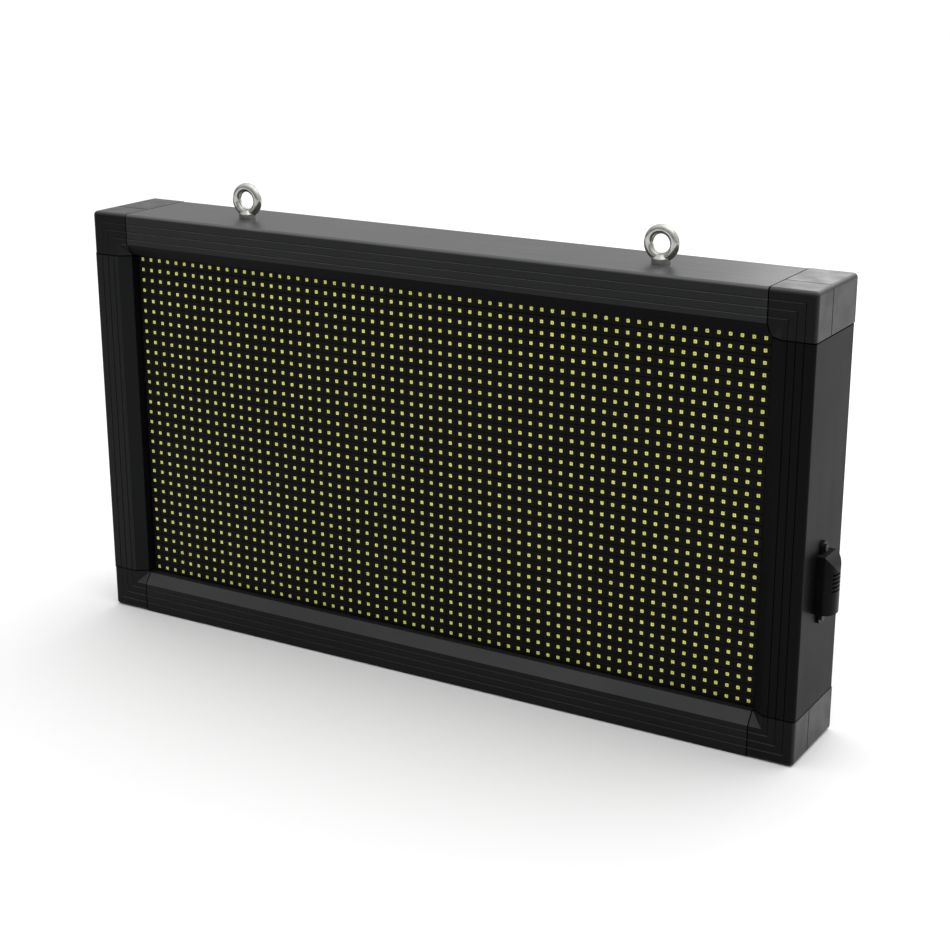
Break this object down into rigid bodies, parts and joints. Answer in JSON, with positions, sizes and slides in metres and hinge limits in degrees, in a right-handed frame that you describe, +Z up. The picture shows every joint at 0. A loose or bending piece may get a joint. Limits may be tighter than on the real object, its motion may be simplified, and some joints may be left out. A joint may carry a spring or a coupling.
{
  "type": "led matrix display sign",
  "caption": "Framed LED matrix display sign with moulded corners, hanging eye bolts, a side cable cowl and a rear service door.",
  "frame": {"origin": "middle of the bottom face: halfway across, halfway through the depth of the profiles, at the underside", "axes": "+X to the display's right, -Y the way the display faces, +Z up"},
  "size_m": [0.7385, 0.0921, 0.4304],
  "materials": {
    "black_anodised": "satin",
    "corner_plastic": "satin",
    "mask_plastic": "matte",
    "board_laminate": "matte",
    "shell_plastic": "matte",
    "galvanised_steel": "satin",
    "screw_steel": "satin",
    "zinc_plate": "bright",
    "black_sheet": "satin",
    "hinge_steel": "satin",
    "lock_chrome": "bright",
    "cowl_plastic": "satin",
    "black_rubber": "matte",
    "terminal_plastic": "satin",
    "card_laminate": "gloss",
    "nylon": "satin",
    "ribbon_grey": "satin",
    "lead_red": "gloss",
    "lead_black": "satin"
  },
  "bodies": {
    "sign": {"bottom_profile": "black_anodised", "cable_cowl": "cowl_plastic", "cable_grommet": "black_rubber", "card_standoffs": "nylon", "control_card": "card_laminate", "corner_bottom_left": "corner_plastic", "corner_bottom_right": "corner_plastic", "corner_screws": "screw_steel", "corner_top_left": "corner_plastic", "corner_top_right": "corner_plastic", "cowl_screws": "screw_steel", "data_ribbons": "ribbon_grey", "dc_leads": "lead_red", "door_seal": "black_rubber", "equipment_plate": "galvanised_steel", "eye_spreaders": "galvanised_steel", "eye_washers": "zinc_plate", "hinge_leaves_panel": "hinge_steel", "hinge_screws_panel": "screw_steel", "left_profile": "black_anodised", "mains_lead": "lead_black", "module_board_lower_left": "board_laminate", "module_board_lower_right": "board_laminate", "module_board_upper_left": "board_laminate", "module_board_upper_right": "board_laminate", "module_mask_lower_left": "mask_plastic", "module_mask_lower_right": "mask_plastic", "module_mask_upper_left": "mask_plastic", "module_mask_upper_right": "mask_plastic", "module_rail_centre": "galvanised_steel", "module_rail_left": "galvanised_steel", "module_rail_right": "galvanised_steel", "module_screws": "screw_steel", "module_shell_lower_left": "shell_plastic", "module_shell_lower_right": "shell_plastic", "module_shell_upper_left": "shell_plastic", "module_shell_upper_right": "shell_plastic", "module_sockets": "nylon", "panel_screws": "screw_steel", "plate_screws": "screw_steel", "power_supply": "galvanised_steel", "rail_screws": "screw_steel", "rear_panel": "black_sheet", "right_profile": "black_anodised", "terminal_block": "terminal_plastic", "top_profile": "black_anodised"},
    "door": {"service_door": "black_sheet", "hinge_leaves_door": "hinge_steel", "hinge_pins": "hinge_steel", "hinge_screws_door": "screw_steel", "lock_barrel": "lock_chrome", "lock_nut": "lock_chrome"},
    "cam": {"lock_cam": "lock_chrome"},
    "left_eye_bolt": {"eye_bolt_left": "zinc_plate", "eye_nut_left": "zinc_plate"},
    "right_eye_bolt": {"eye_bolt_right": "zinc_plate", "eye_nut_right": "zinc_plate"}
  },
  "joints": [
    {"name": "service_door_hinge", "type": "hinge", "parent": "sign", "child": "door", "pos_m": [-0.22, 0.04715, 0.199], "axis": [0, 0, 1], "range_deg": [0, 120]},
    {"name": "lock_turn", "type": "hinge", "parent": "door", "child": "cam", "pos_m": [0.2024, 0.038, 0.199], "axis": [0, -1, 0], "range_deg": [0, 90]},
    {"name": "left_eye_bolt_turn", "type": "hinge", "parent": "sign", "child": "left_eye_bolt", "pos_m": [-0.21, 0, 0.398], "axis": [0, 0, 1], "range_deg": [-90, 90]},
    {"name": "right_eye_bolt_turn", "type": "hinge", "parent": "sign", "child": "right_eye_bolt", "pos_m": [0.21, 0, 0.398], "axis": [0, 0, 1], "range_deg": [-90, 90]}
  ]
}
